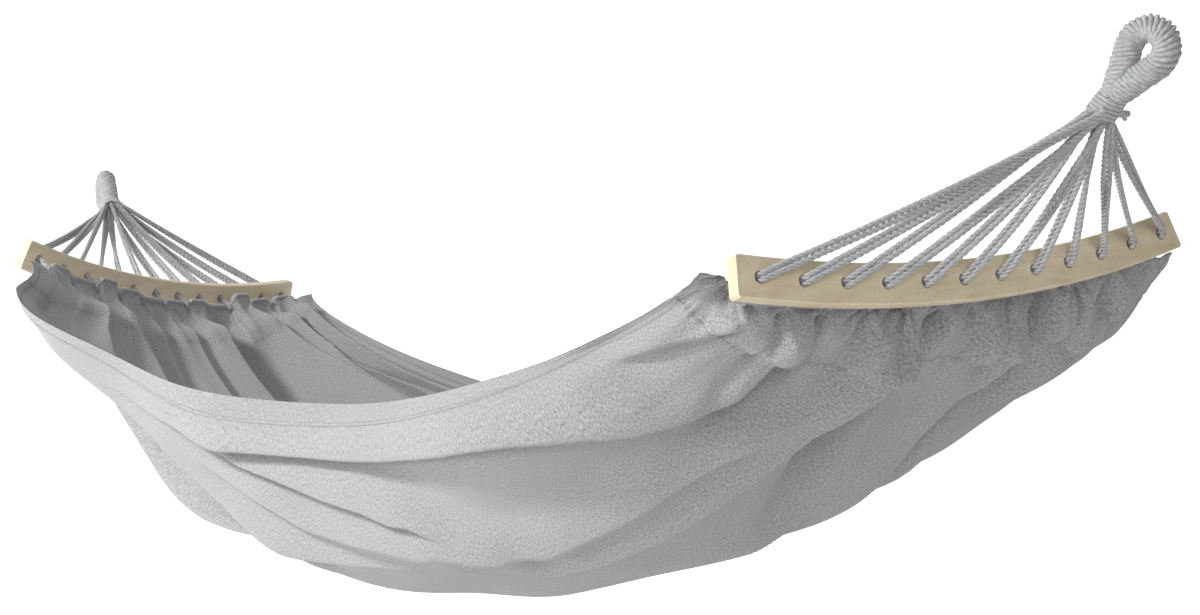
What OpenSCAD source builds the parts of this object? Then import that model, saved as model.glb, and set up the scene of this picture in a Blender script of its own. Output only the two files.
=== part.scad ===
// Camping hammock: a cloth bed hung from two curved wooden spreader bars.
// Twelve doubled ropes run through each bar and gather in a wound eye.
// X runs along the hammock with the near end at +X, Y runs across it with
// the back at +Y, and Z is up. The origin is the top of the near eye's hole,
// where the hook bears.

/* [Span] */
// Distance between the two spreader bars, centre to centre
bar_span = 1800; // [1700:10:1850]
// How far the rope necks stand outside the bars
neck_out = 187; // [180:1:220]
// How far the near neck stands above its bar's end holes
near_neck_up = 174; // [160:1:190]
// How far the far neck stands above its bar's end holes
far_neck_up = 143; // [135:1:165]

/* [Spreader bars] */
// Length of each bar
bar_len = 780; // [770:5:820]
// Height of each bar's broad face
bar_h = 55; // [50:1:60]
// Thickness of each bar
bar_t = 20; // [18:0.5:24]
// How far the middle of a bar hangs below its ends
bar_bow = 38; // [30:1:50]
// Width of the chamfer along the bar's edges
bar_chamfer = 1.5; // [0.5:0.1:2]
// Lean of the broad face from upright
bar_lean = 15; // [10:1:20]
// Turn of each bar about the vertical, front ends inward
bar_turn = 15; // [0:1:16]
// Roll of each bar, opposite at the two ends
bar_roll = 5; // [0:0.5:6]

/* [Ropes] */
// Number of rope holes in each bar
hole_count = 12; // [12:1:12]
// Distance between neighbouring rope holes
hole_pitch = 65; // [62:0.5:66]
// Diameter of a rope hole
hole_d = 16; // [15.5:0.1:18]
// Diameter of one rope strand
rope_d = 7; // [6.5:0.1:7.2]
// Diameter of the cord inside the cloth's end casing
header_d = 6; // [5:0.5:6]
// Outer diameter of the sewn end casing
casing_d = 18; // [16:1:20]

/* [Eyes] */
// Steepness of the near eye above the horizontal
near_rise = 50; // [45:1:55]
// Steepness of the far eye above the horizontal
far_rise = 25; // [20:1:45]
// Swing of the far eye towards the back
far_swing = 25; // [0:1:28]
// Thickness of the wound loop
eye_tube_d = 34; // [32:1:36]
// Radius of the loop's round top, at the middle of its thickness
eye_bend_r = 25; // [24:0.5:27]
// Distance from the loop's pivot to the centre of its round top
eye_reach = 70; // [66:1:74]
// Thickness of the strand bundle inside the winding
eye_core_d = 22; // [18:1:24]
// Diameter of the whipping round the neck
neck_d = 42; // [42:1:46]

/* [Cloth] */
// Width of the cloth where it is gathered on the header cords
cloth_w = 800; // [780:5:810]
// Width of the bed between its edges at mid-length
bed_w = 700; // [660:10:720]
// Sag of the front edge at mid-length
front_sag = 195; // [170:5:210]
// Sag of the back edge at mid-length
back_sag = 230; // [200:5:240]
// Sag of the deepest line at mid-length
deep_sag = 455; // [430:5:480]
// How far the side walls belly out between the middle and the ends
wall_bulge = 40; // [0:5:50]
// How far the slack front edge flops out near the far end
front_flop = 95; // [0:5:100]
// How far the front edge hangs lower towards the far end
front_slack = 62; // [0:2:70]
// How far the back wall drops and bellies out near the near end
back_drop = 50; // [0:5:60]
// Thickness of the cloth solid
cloth_t = 4; // [3:0.5:5]
// Thickness of the rolled side hems
hem_t = 8; // [6:0.5:9]

/* [Hidden] */
ROPES = [for (i = [1:hole_count]) str("_rope_", i < 10 ? "0" : "", i)];
END_PARTS = ["_spreader_bar", "_header_cord", "_end_casing",
             "_neck_whipping", "_tail_knot", "_eye_core", "_eye_winding"];

NEAR = 1;
FAR = -1;
WOOD = [0.86, 0.78, 0.63];
ROPE = [0.66, 0.67, 0.68];
CLOTH = [0.74, 0.74, 0.75];
HEM = [0.68, 0.68, 0.69];

// The bar's arc: radius through its middle line, and the end hole's place
arc_r = (bar_len * bar_len / 4 + bar_bow * bar_bow) / (2 * bar_bow);
end_hole = hole_pitch * (hole_count - 1) / 2;
arc_half = asin(bar_len / 2 / arc_r);

// The header line's place behind and below the holes, in the bar's own frame
header_back = bar_t / 2 + 24;
header_down = 14;
// The cloth starts this much further along the same slope
cloth_back = 17;
cloth_down = 14;
// Each loose corner, front and back at the near end and then at the far end: how far it
// stands up from the header line, back from it, and out past the gathered width
corner_up = [[36, -16], [10, 26]];
corner_in = [[12, -14], [10, 12]];
corner_out = [[0, 28], [14, 6]];
sleeve_l = hole_pitch - 22;

// Rope strands: half spacing in the hole, at the neck and round the header cord
strand_r = rope_d / 2;
strand_gap = 0.1;
hole_off = strand_r + strand_gap;
neck_r = 2.6;
neck_off = 2.7;
slot_pitch = 3.2;
layer_pitch = 8.5;
bight_off = header_d / 2 + strand_r + 0.25;
rope_sides = 8;

// Eye: the pivot ball sits in a hollow in the neck whipping
pivot_out = 26;
ball_r = eye_tube_d / 2 + 1;
hollow_r = ball_r + 0.4;
rim_below = 9.5;
whip_l = pivot_out - rim_below;
leg_angle = asin(eye_bend_r / eye_reach);
leg_l = sqrt(eye_reach * eye_reach - eye_bend_r * eye_bend_r);
core_start = 8;
// The legs are a hair thinner than the top and run into it, so that no faces are tangent
leg_less = 0.3;
leg_in = 2;

// The near hook point, which is the origin
hook_out = pivot_out + eye_reach + eye_bend_r - eye_tube_d / 2;
hook = [bar_span / 2 + neck_out + hook_out * cos(near_rise), 0, near_neck_up + hook_out * sin(near_rise)];

// Cloth grid
cloth_rows = 44;
cloth_cols = 30;
hem_share = 0.014;

$fn = 64;

// ---- Vectors

function unit(v) = v / norm(v);
function mix(a, b, t) = a * (1 - t) + b * t;
function turn_x(a, p) = [p.x, p.y * cos(a) - p.z * sin(a), p.y * sin(a) + p.z * cos(a)];
function turn_y(a, p) = [p.x * cos(a) + p.z * sin(a), p.y, p.z * cos(a) - p.x * sin(a)];
function turn_z(a, p) = [p.x * cos(a) - p.y * sin(a), p.x * sin(a) + p.y * cos(a), p.z];
function flip(s, p) = [s * p.x, p.y, p.z];
function square_to(v, t) = unit(v - (v * t) * t);

// ---- Frames: a bar's own frame has X out through its face and Z up its face

function bar_dir(s, v) = flip(s, turn_z(-bar_turn, turn_x(s * bar_roll, turn_y(-bar_lean, v))));
function bar_point(s, p) = bar_dir(s, p) + [s * bar_span / 2, 0, 0] - hook;
function neck(s) = [s * (bar_span / 2 + neck_out), 0, s > 0 ? near_neck_up : far_neck_up] - hook;
function eye_rise(s) = s > 0 ? near_rise : far_rise;
function eye_heading(s) = s > 0 ? 0 : 180 - far_swing;
function eye_dir(s) =
    let (a = eye_heading(s), e = eye_rise(s))
    [cos(e) * cos(a), cos(e) * sin(a), sin(e)];
function arc_z(y) = sqrt(arc_r * arc_r - end_hole * end_hole) - sqrt(arc_r * arc_r - y * y);
function hole_y(i) = (i - (hole_count - 1) / 2) * hole_pitch;
function header_point(s, y) = bar_point(s, [-header_back, y, arc_z(y) - header_down]);

module in_bar(s) {
    translate(-hook)
        mirror([s < 0 ? 1 : 0, 0, 0])
            translate([bar_span / 2, 0, 0])
                rotate([0, 0, -bar_turn])
                    rotate([s * bar_roll, 0, 0])
                        rotate([0, -bar_lean, 0])
                            children();
}

// Puts +Z along the eye, from the neck's centre, and X and Z in the loop's plane
module in_eye(s) {
    translate(neck(s))
        rotate([0, 90 - eye_rise(s), eye_heading(s)])
            children();
}

module from_to(a, b) {
    d = b - a;
    translate(a)
        rotate([0, acos(d.z / norm(d)), atan2(d.y, d.x)])
            children();
}

// ---- Sweep: one closed tube along a list of points

function tangent(p, j) = unit(p[min(j + 1, len(p) - 1)] - p[max(j - 1, 0)]);
function ring(c, t, side, r, n) =
    let (b = square_to(side, t), e = cross(t, b))
    [for (k = [0:n - 1]) c + r * (cos(360 * k / n) * b + sin(360 * k / n) * e)];
function rings(p, r, side, n) = [for (j = [0:len(p) - 1]) each ring(p[j], tangent(p, j), side, r[j], n)];
function tube_faces(m, n) = concat(
    [[for (k = [n - 1:-1:0]) k]],
    [for (j = [0:m - 2]) for (k = [0:n - 1]) for (h = [0, 1])
        let (a = j * n + k, b = j * n + (k + 1) % n)
        h == 0 ? [a, b, b + n] : [a, b + n, a + n]],
    [[for (k = [0:n - 1]) (m - 1) * n + k]]);

module tube(p, r, side, n) {
    points = rings(p, r, side, n);
    polyhedron(points, [for (f = tube_faces(len(p), n)) [for (k = [len(f) - 1:-1:0]) f[k]]], convexity = 10);
}

// ---- Ropes

// Where rope i enters the neck: three layers, in order across the bundle
function neck_slot(s, i) =
    let (up = square_to([0, 0, 1], eye_dir(s)), across = s * cross(up, eye_dir(s)))
    neck(s) + across * (i - (hole_count - 1) / 2) * slot_pitch + up * ((i % 3) - 1) * layer_pitch;

function bend(a, b, c) = [for (t = [0:1 / 3:1.01]) mix(mix(a, b, t), mix(b, c, t), t)];

// The middle line of a doubled rope, from the neck to the header cord
function rope_line(s, i) =
    let (y = hole_y(i), z = arc_z(y), top = neck_slot(s, i),
         knee = bar_point(s, [bar_t / 2 + 8, y, z]),
         lean = knee + 13 * unit(top - knee))
    concat([top, mix(top, lean, 0.1), mix(top, lean, 0.22), mix(top, lean, 0.5), mix(top, lean, 0.8)],
           bend(lean, knee, bar_point(s, [bar_t / 2 + 1.5, y, z])),
           [bar_point(s, [-bar_t / 2 - 1.5, y, z]),
            header_point(s, y) + bar_dir(s, [11, 0, 5]),
            header_point(s, y)]);

function rope_offsets() =
    [neck_off, mix(neck_off, hole_off, 0.6), hole_off, hole_off, hole_off,
     hole_off, hole_off, hole_off, hole_off, hole_off, mix(hole_off, bight_off, 0.75), bight_off];
function rope_radii() =
    [neck_r, mix(neck_r, strand_r, 0.6), strand_r, strand_r, strand_r,
     strand_r, strand_r, strand_r, strand_r, strand_r, strand_r, strand_r];

function strand(line, up, sign) =
    let (off = rope_offsets())
    [for (j = [0:len(line) - 1]) line[j] + sign * off[j] * square_to(up, tangent(line, j))];

// Round the header cord, from above it to below it
function bight(line, up) =
    let (n = len(line) - 1, t = tangent(line, n), o = square_to(up, t))
    [for (a = [45:45:135]) line[n] + bight_off * (cos(a) * o + sin(a) * t)];

module rope(s, i) {
    line = rope_line(s, i);
    up = bar_dir(s, [0, 0, 1]);
    down = strand(line, up, 1);
    back = strand(line, up, -1);
    turn = bight(line, up);
    m = len(line);
    route = concat(down, turn, [for (j = [m - 1:-1:0]) back[j]]);
    r = rope_radii();
    widths = concat(r, [for (p = turn) strand_r], [for (j = [m - 1:-1:0]) r[j]]);
    color(ROPE) tube(route, widths, bar_dir(s, [0, 1, 0]), rope_sides);
}

module header_cord(s) {
    ends = end_hole + 36;
    ys = concat([-ends], [for (i = [0:hole_count - 1]) hole_y(i)], [ends]);
    route = [for (y = ys) header_point(s, y)];
    color(ROPE) tube(route, [for (y = ys) header_d / 2], [0, 0, 1], 8);
}

// ---- Cloth

module sleeve(a, b, length) {
    middle = (a + b) / 2;
    from_to(middle - unit(b - a) * length / 2, b)
        difference() {
            cylinder(d = casing_d, h = length);
            translate([0, 0, -1]) cylinder(d = header_d + 0.6, h = length + 2);
        }
}

module end_casing(s) {
    color(HEM) {
        for (i = [0:hole_count - 2])
            sleeve(header_point(s, hole_y(i)), header_point(s, hole_y(i + 1)), sleeve_l);
        for (e = [-1, 1])
            sleeve(header_point(s, e * (end_hole + 10)), header_point(s, e * (end_hole + 34)), 22);
    }
}

function smooth(t) = let (x = min(max(t, 0), 1)) x * x * (3 - 2 * x);
function hump(u, at, width) = exp(-pow((u - at) / width, 2));

// The cloth's end line, v from 0 at the front to 1 at the back, with loose corners
function at_corner(values, s, y) = values[s > 0 ? 0 : 1][y < 0 ? 0 : 1];
function cloth_end(s, v) =
    let (y = (v - 0.5) * cloth_w, k = smooth((abs(y) - end_hole + 38) / 80))
    bar_point(s, [-header_back - cloth_back - at_corner(corner_in, s, y) * k,
                  y + sign(y) * at_corner(corner_out, s, y) * k,
                  arc_z(y) - header_down - cloth_down + at_corner(corner_up, s, y) * k]);

// A point of the cloth's middle surface, u from 0 at the near end to 1 at the far end
function cloth_point(u, v) =
    let (p = mix(cloth_end(NEAR, v), cloth_end(FAR, v), u),
         deep = pow(sin(180 * v), 0.8),
         edge = mix(front_sag, back_sag, v) * pow(4 * u * (1 - u), 0.9),
         sag = mix(edge, deep_sag * pow(sin(180 * u), 0.72), deep),
         y = mix(p.y, -bed_w / 2 * cos(180 * v), pow(sin(180 * u), 0.6)),
         bulge = wall_bulge * pow(sin(360 * u), 2) * cos(180 * v),
         flop = front_flop * hump(u, 0.91, 0.085) * (1 - smooth(v / 0.4)) * smooth((1 - u) / 0.05),
         drop = back_drop * hump(u, 0.1, 0.1) * smooth((v - 0.45) / 0.4) * smooth(u / 0.06),
         slack = front_slack * hump(u, 0.88, 0.27) * (1 - smooth(v / 0.18)) * smooth((1 - u) / 0.045))
    [p.x, y - bulge - flop - 0.15 * slack + 0.7 * drop, p.z - sag + 0.1 * flop - slack - drop];

function cloth_normal(u, v) =
    let (d = 0.002,
         a = cloth_point(min(u + d, 1), v) - cloth_point(max(u - d, 0), v),
         b = cloth_point(u, min(v + d, 1)) - cloth_point(u, max(v - d, 0)))
    unit(cross(b, a));

// One closed shell of the cloth's surface between two v values
module cloth_strip(v0, v1, cols, thick) {
    n = cols + 1;
    side = [for (h = [-1, 1]) for (i = [0:cloth_rows]) for (j = [0:cols])
        let (t = i / cloth_rows, u = mix(t, smooth(t), 0.5), v = mix(v0, v1, j / cols))
        cloth_point(u, v) + h * thick / 2 * cloth_normal(u, v)];
    half = (cloth_rows + 1) * n;
    rim = concat([for (j = [0:cols]) j],
                 [for (i = [1:cloth_rows]) i * n + cols],
                 [for (j = [cols - 1:-1:0]) cloth_rows * n + j],
                 [for (i = [cloth_rows - 1:-1:1]) i * n]);
    m = len(rim);
    polyhedron(side, concat(
        [for (i = [0:cloth_rows - 1]) for (j = [0:cols - 1]) for (f = [0:3])
            let (a = i * n + j, b = a + 1, c = a + n + 1, d = a + n)
            [[a, c, b], [a, d, c], [a + half, b + half, c + half], [a + half, c + half, d + half]][f]],
        [for (k = [0:m - 1]) for (f = [0, 1])
            let (a = rim[k], b = rim[(k + 1) % m])
            [[a, b, b + half], [a, b + half, a + half]][f]]), convexity = 10);
}

module cloth_bed() {
    color(CLOTH) cloth_strip(hem_share, 1 - hem_share, cloth_cols, cloth_t);
}

module front_side_hem() {
    color(HEM) cloth_strip(0, hem_share, 1, hem_t);
}

module back_side_hem() {
    color(HEM) cloth_strip(1 - hem_share, 1, 1, hem_t);
}

// ---- Spreader bar

module bar_section() {
    x = bar_h / 2;
    y = bar_t / 2;
    c = bar_chamfer;
    translate([arc_r, 0])
        polygon([[-x + c, -y], [x - c, -y], [x, -y + c], [x, y - c],
                 [x - c, y], [-x + c, y], [-x, y - c], [-x, -y + c]]);
}

module spreader_bar(s) {
    end_cut = 5;
    color(WOOD)
        in_bar(s)
            difference() {
                // The arc's centre is above the bar, and its plane is the bar's face
                translate([0, 0, arc_z(0) + arc_r])
                    rotate([0, 90, 0])
                        rotate([0, 0, -arc_half])
                            rotate_extrude(angle = 2 * arc_half, $fn = 360) bar_section();
                for (i = [0:hole_count - 1])
                    translate([-bar_t, hole_y(i), arc_z(hole_y(i))])
                        rotate([0, 90, 0])
                            cylinder(d = hole_d, h = 2 * bar_t);
                // Corners of the two ends
                for (e = [-1, 1], k = [-1, 1])
                    translate([0, e * bar_len / 2, arc_z(bar_len / 2)])
                        rotate([e * arc_half, 0, 0])
                            translate([0, 0, k * bar_h / 2])
                                rotate([45, 0, 0])
                                    cube([2 * bar_t, end_cut, end_cut], center = true);
            }
}

// ---- Eyes

// The loop's middle line is two legs that meet at the pivot, and a round top
module eye_loop(r, start) {
    translate([0, 0, pivot_out + eye_reach])
        rotate([90, 0, 0])
            rotate([0, 0, -leg_angle])
                rotate_extrude(angle = 180 + 2 * leg_angle) translate([eye_bend_r, 0]) circle(r = r);
    for (e = [-1, 1])
        translate([0, 0, pivot_out])
            rotate([0, e * leg_angle, 0])
                translate([0, 0, start])
                    cylinder(r = r - leg_less, h = leg_l - start + leg_in);
}

module eye_core(s) {
    color(ROPE) in_eye(s) eye_loop(eye_core_d / 2, core_start);
}

module eye_winding(s) {
    color(ROPE)
        in_eye(s)
            difference() {
                union() {
                    eye_loop(eye_tube_d / 2, 0);
                    translate([0, 0, pivot_out]) sphere(r = ball_r);
                }
                eye_loop(eye_core_d / 2, core_start);
            }
}

module neck_whipping(s) {
    color(ROPE)
        in_eye(s)
            difference() {
                cylinder(d = neck_d, h = whip_l);
                translate([0, 0, pivot_out]) sphere(r = hollow_r);
            }
}

// The knot that ends the whipping cord, on a short tail behind the neck
module tail_knot(s) {
    knot = neck(s) + 6 * eye_dir(s) + [10, 31, -5];
    root = neck(s) + 6 * eye_dir(s) + [4, 17, -3];
    color(ROPE) {
        from_to(root, knot) cylinder(r = 3, h = norm(knot - root));
        translate(knot) sphere(r = 8);
    }
}

cloth_bed();
front_side_hem();
back_side_hem();
spreader_bar(NEAR);  // near_spreader_bar
header_cord(NEAR);  // near_header_cord
end_casing(NEAR);  // near_end_casing
neck_whipping(NEAR);  // near_neck_whipping
tail_knot(NEAR);  // near_tail_knot
eye_core(NEAR);  // near_eye_core
eye_winding(NEAR);  // near_eye_winding
spreader_bar(FAR);  // far_spreader_bar
header_cord(FAR);  // far_header_cord
end_casing(FAR);  // far_end_casing
neck_whipping(FAR);  // far_neck_whipping
tail_knot(FAR);  // far_tail_knot
eye_core(FAR);  // far_eye_core
eye_winding(FAR);  // far_eye_winding
for (i = [0:hole_count - 1]) rope(NEAR, i);
for (i = [0:hole_count - 1]) rope(FAR, i);
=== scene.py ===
"""Looks of the camping hammock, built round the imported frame.

X runs along the hammock with the near end at +X, Y across it with the back at
+Y, and Z up. Everything is in metres, and the origin is the near eye's hook point.
"""

import math

import bpy
import numpy as np
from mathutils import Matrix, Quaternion, Vector


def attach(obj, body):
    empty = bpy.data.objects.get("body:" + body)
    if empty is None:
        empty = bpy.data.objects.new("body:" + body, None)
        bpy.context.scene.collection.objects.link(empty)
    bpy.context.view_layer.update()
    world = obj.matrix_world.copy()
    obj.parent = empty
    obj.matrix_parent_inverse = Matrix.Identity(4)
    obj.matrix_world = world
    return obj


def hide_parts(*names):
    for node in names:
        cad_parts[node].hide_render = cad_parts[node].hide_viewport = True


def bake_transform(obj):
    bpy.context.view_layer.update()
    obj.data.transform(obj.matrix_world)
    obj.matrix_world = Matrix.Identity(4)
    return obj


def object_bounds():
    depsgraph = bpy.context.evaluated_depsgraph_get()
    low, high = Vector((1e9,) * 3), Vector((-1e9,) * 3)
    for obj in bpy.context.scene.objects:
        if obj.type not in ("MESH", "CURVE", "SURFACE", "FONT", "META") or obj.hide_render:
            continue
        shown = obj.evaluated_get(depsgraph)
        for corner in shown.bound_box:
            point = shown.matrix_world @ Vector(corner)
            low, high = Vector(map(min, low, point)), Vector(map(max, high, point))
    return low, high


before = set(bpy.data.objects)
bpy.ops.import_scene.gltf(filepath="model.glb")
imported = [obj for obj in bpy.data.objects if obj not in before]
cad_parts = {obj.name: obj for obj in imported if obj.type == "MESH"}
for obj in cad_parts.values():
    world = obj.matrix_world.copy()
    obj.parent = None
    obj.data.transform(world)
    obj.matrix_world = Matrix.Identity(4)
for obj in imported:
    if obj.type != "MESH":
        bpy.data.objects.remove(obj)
CAD_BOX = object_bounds()

NEAR, FAR = 1, -1
END_NAME = {NEAR: "near", FAR: "far"}
rng = np.random.default_rng(12)

# ---- The hammock's own dimensions, in metres and degrees, as the CAD has them but for its simpler corners

BAR_SPAN = 1.8
# Each neck, out from its bar and up from it
NECK_OUT = 0.187
NECK_UP = {NEAR: 0.174, FAR: 0.143}
BAR_LEN = 0.780
BAR_T = 0.020
BAR_BOW = 0.038
BAR_LEAN, BAR_TURN, BAR_ROLL = 15.0, 15.0, 5.0
HOLES = 12
PITCH = 0.065
EYE_RISE = {NEAR: 50.0, FAR: 25.0}
EYE_HEADING = {NEAR: 0.0, FAR: 155.0}
# The eye's pivot from its neck, the middle of its round end from the pivot, that end's radius and the
# loop's thickness
PIVOT_OUT = 0.026
EYE_REACH = 0.070
EYE_BEND = 0.025
EYE_TUBE = 0.034
# The header cord's line, in from the bar and down from its holes
HEADER_BACK, HEADER_DOWN = 0.034, 0.014
CLOTH_W = 0.800
BED_W = 0.700
FRONT_SAG, BACK_SAG, DEEP_SAG = 0.195, 0.230, 0.455
# Each loose corner's lift, and how far it stands back from the bar and out past its end: front, back
CORNER_LIFT = {NEAR: (0.036, -0.003), FAR: (0.010, 0.026)}
CORNER_IN = {NEAR: (0.012, -0.008), FAR: (0.010, 0.012)}
CORNER_OUT = {NEAR: (0.000, 0.014), FAR: (0.014, 0.006)}
WALL_BULGE, FRONT_FLOP, BACK_DROP = 0.040, 0.095, 0.050
FRONT_SLACK = 0.022
# The flat cloth, across and along
FLAT_W, FLAT_L = 1.05, 2.04

HOOK_OUT = PIVOT_OUT + EYE_REACH + EYE_BEND - EYE_TUBE / 2
ARC_R = (BAR_LEN ** 2 / 4 + BAR_BOW ** 2) / (2 * BAR_BOW)
END_HOLE = PITCH * (HOLES - 1) / 2
HOOK = np.array([BAR_SPAN / 2 + NECK_OUT + HOOK_OUT * math.cos(math.radians(EYE_RISE[NEAR])), 0.0,
                 NECK_UP[NEAR] + HOOK_OUT * math.sin(math.radians(EYE_RISE[NEAR]))])


# ---- Vectors, on arrays whose last axis is x, y, z

def unit(v):
    v = np.asarray(v, float)
    return v / np.maximum(np.linalg.norm(v, axis=-1, keepdims=True), 1e-12)


def mix(a, b, t):
    return a * (1 - t) + b * t


def smooth(t):
    t = np.clip(t, 0, 1)
    return t * t * (3 - 2 * t)


def hump(x, at, width):
    return np.exp(-((x - at) / width) ** 2)


def square_to(v, t):
    return unit(v - np.sum(v * t, axis=-1, keepdims=True) * t)


def turned(p, axis, degrees):
    a = math.radians(degrees)
    c, s = math.cos(a), math.sin(a)
    x, y, z = p[..., 0], p[..., 1], p[..., 2]
    if axis == "x":
        return np.stack([x, y * c - z * s, y * s + z * c], -1)
    if axis == "y":
        return np.stack([x * c + z * s, y, z * c - x * s], -1)
    return np.stack([x * c - y * s, x * s + y * c, z], -1)


# ---- Places that the CAD gives the bars, header lines and necks

def arc_z(y):
    return math.sqrt(ARC_R ** 2 - END_HOLE ** 2) - np.sqrt(ARC_R ** 2 - np.asarray(y) ** 2)


def bar_dir(s, v):
    q = turned(np.asarray(v, float), "y", -BAR_LEAN)
    q = turned(turned(q, "x", s * BAR_ROLL), "z", -BAR_TURN)
    return q * np.array([s, 1.0, 1.0])


def bar_point(s, p):
    return bar_dir(s, p) + np.array([s * BAR_SPAN / 2, 0, 0]) - HOOK


def bar_points(s, x, y, z):
    x, y, z = np.broadcast_arrays(x, y, z)
    return bar_point(s, np.stack([x, y, z], -1))


def header_point(s, y):
    return bar_points(s, -HEADER_BACK, y, arc_z(y) - HEADER_DOWN)


def neck(s):
    return np.array([s * (BAR_SPAN / 2 + NECK_OUT), 0, NECK_UP[s]]) - HOOK


def eye_axes(s):
    """Along the eye, across its loop's plane, and upward in that plane."""
    a, e = math.radians(EYE_HEADING[s]), math.radians(EYE_RISE[s])
    along = np.array([math.cos(e) * math.cos(a), math.cos(e) * math.sin(a), math.sin(e)])
    up = square_to(np.array([0, 0, 1.0]), along)
    return along, np.cross(up, along) * s, up


def hole_y(i):
    return (i - (HOLES - 1) / 2) * PITCH


# ---- Meshes

def new_mesh(name, verts, faces, material, uvs=None):
    """faces is an array of quads or triangles; uvs has one pair for each vertex."""
    mesh = bpy.data.meshes.new(name)
    faces = np.asarray(faces)
    sides = faces.shape[1]
    mesh.vertices.add(len(verts))
    mesh.vertices.foreach_set("co", np.asarray(verts, np.float32).ravel())
    mesh.loops.add(faces.size)
    mesh.loops.foreach_set("vertex_index", faces.astype(np.int32).ravel())
    mesh.polygons.add(len(faces))
    mesh.polygons.foreach_set("loop_start", np.arange(0, faces.size, sides, dtype=np.int32))
    mesh.polygons.foreach_set("use_smooth", np.ones(len(faces), bool))
    mesh.update(calc_edges=True)
    if uvs is not None:
        layer = mesh.uv_layers.new(name="UVMap")
        layer.data.foreach_set("uv", np.asarray(uvs, np.float32)[faces.ravel()].ravel())
    mesh.validate()
    obj = bpy.data.objects.new(name, mesh)
    bpy.context.scene.collection.objects.link(obj)
    if material:
        mesh.materials.append(material)
    return obj


class Soup:
    """Collects tubes and patches that become one mesh."""

    def __init__(self):
        self.verts, self.faces, self.uvs, self.count = [], [], [], 0

    def add(self, verts, faces, uvs):
        self.verts.append(verts)
        self.faces.append(faces + self.count)
        self.uvs.append(uvs)
        self.count += len(verts)

    def tube(self, path, radius, sides=8, ply=0.0, ply_pitch=0.012, starts=2, first=None):
        """A round tube along path with domed ends; ply twists its section, as in laid yarn."""
        path = np.asarray(path, float)
        n = len(path)
        _, a, b = frames(path, first)
        r = np.broadcast_to(np.asarray(radius, float), (n,)).copy()
        step = np.linalg.norm(np.diff(path, axis=0), axis=1)
        run = np.concatenate([[0], np.cumsum(step)])
        tip = np.minimum(run, run[-1] - run) / np.maximum(r, 1e-6)
        r = r * np.sqrt(np.clip(1 - (1 - np.clip(tip, 0, 1)) ** 2, 0.02, 1))
        ang = np.arange(sides) * 2 * math.pi / sides
        swell = 1 + ply * np.cos(starts * (ang[None] - 2 * math.pi * run[:, None] / ply_pitch / starts))
        ring = (np.cos(ang)[None, :, None] * a[:, None] + np.sin(ang)[None, :, None] * b[:, None])
        verts = path[:, None] + ring * (r[:, None] * swell)[..., None]
        uvs = np.stack(np.broadcast_arrays(ang[None] / (2 * math.pi), run[:, None]), -1)
        i, k = np.meshgrid(np.arange(n - 1), np.arange(sides), indexing="ij")
        k2 = (k + 1) % sides
        quads = np.stack([i * sides + k, i * sides + k2, (i + 1) * sides + k2, (i + 1) * sides + k], -1)
        caps = []
        for base, order in ((0, 1), ((n - 1) * sides, -1)):
            for j in range(1, sides // 2):
                cap = [base + j - 1, base + j, base + sides - 1 - j, base + (sides - j) % sides]
                caps.append(cap[::-order])
        faces = np.concatenate([quads.reshape(-1, 4), np.array(caps)])
        self.add(verts.reshape(-1, 3), faces, uvs.reshape(-1, 2))

    def mesh(self, name, material):
        return new_mesh(name, np.concatenate(self.verts), np.concatenate(self.faces), material,
                        np.concatenate(self.uvs))


def frames(path, first=None):
    """Tangents and two carried side vectors, with no twist of their own."""
    t = unit(np.gradient(path, axis=0))
    a = np.zeros_like(t)
    side = np.array(first if first is not None else [0.0, 0.0, 1.0], float)
    if abs(np.dot(unit(side), t[0])) > 0.95:
        side = np.array([0.0, 1.0, 0.0])
    for i in range(len(t)):
        side = side - np.dot(side, t[i]) * t[i]
        side /= np.linalg.norm(side)
        a[i] = side
    return t, a, np.cross(t, a)


def resample(points, spacing):
    """An evenly spaced smooth curve through the points."""
    p = np.asarray(points, float)
    pad = np.vstack([2 * p[0] - p[1], p, 2 * p[-1] - p[-2]])
    fine = []
    for i in range(1, len(pad) - 2):
        p0, p1, p2, p3 = pad[i - 1:i + 3]
        d01, d12, d23 = (max(np.linalg.norm(b - a), 1e-9) ** 0.5 for a, b in ((p0, p1), (p1, p2), (p2, p3)))
        m1 = (p2 - p1) / d12 + d12 * ((p1 - p0) / d01 - (p2 - p0) / (d01 + d12))
        m2 = (p2 - p1) / d12 + d12 * ((p3 - p2) / d23 - (p3 - p1) / (d12 + d23))
        x = np.linspace(0, 1, 24, endpoint=False)[:, None]
        m1, m2 = m1 * d12, m2 * d12
        fine.append((2 * x ** 3 - 3 * x ** 2 + 1) * p1 + (x ** 3 - 2 * x ** 2 + x) * m1
                    + (3 * x ** 2 - 2 * x ** 3) * p2 + (x ** 3 - x ** 2) * m2)
    fine = np.vstack(fine + [p[-1:]])
    run = np.concatenate([[0], np.cumsum(np.linalg.norm(np.diff(fine, axis=0), axis=1))])
    count = max(int(run[-1] / spacing), 4)
    want = np.linspace(0, run[-1], count + 1)
    return np.stack([np.interp(want, run, fine[:, k]) for k in range(3)], -1)


def laid_rope(soup, path, radius, pitch=0.026, plies=3, spacing=0.0024, phase=0.0):
    """A rope of twisted plies along path."""
    path = resample(path, spacing)
    _, a, b = frames(path)
    radius = np.interp(np.linspace(0, 1, len(path)), np.linspace(0, 1, len(np.atleast_1d(radius))),
                       np.atleast_1d(radius))
    run = np.concatenate([[0], np.cumsum(np.linalg.norm(np.diff(path, axis=0), axis=1))])
    ply_r = radius / (1 + 1 / math.sin(math.pi / plies))
    for k in range(plies):
        w = phase + 2 * math.pi * (run / pitch + k / plies)
        line = path + (radius - ply_r)[:, None] * (np.cos(w)[:, None] * a + np.sin(w)[:, None] * b)
        soup.tube(line, ply_r * 1.08, sides=8, first=a[0])


# ---- Materials

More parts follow.
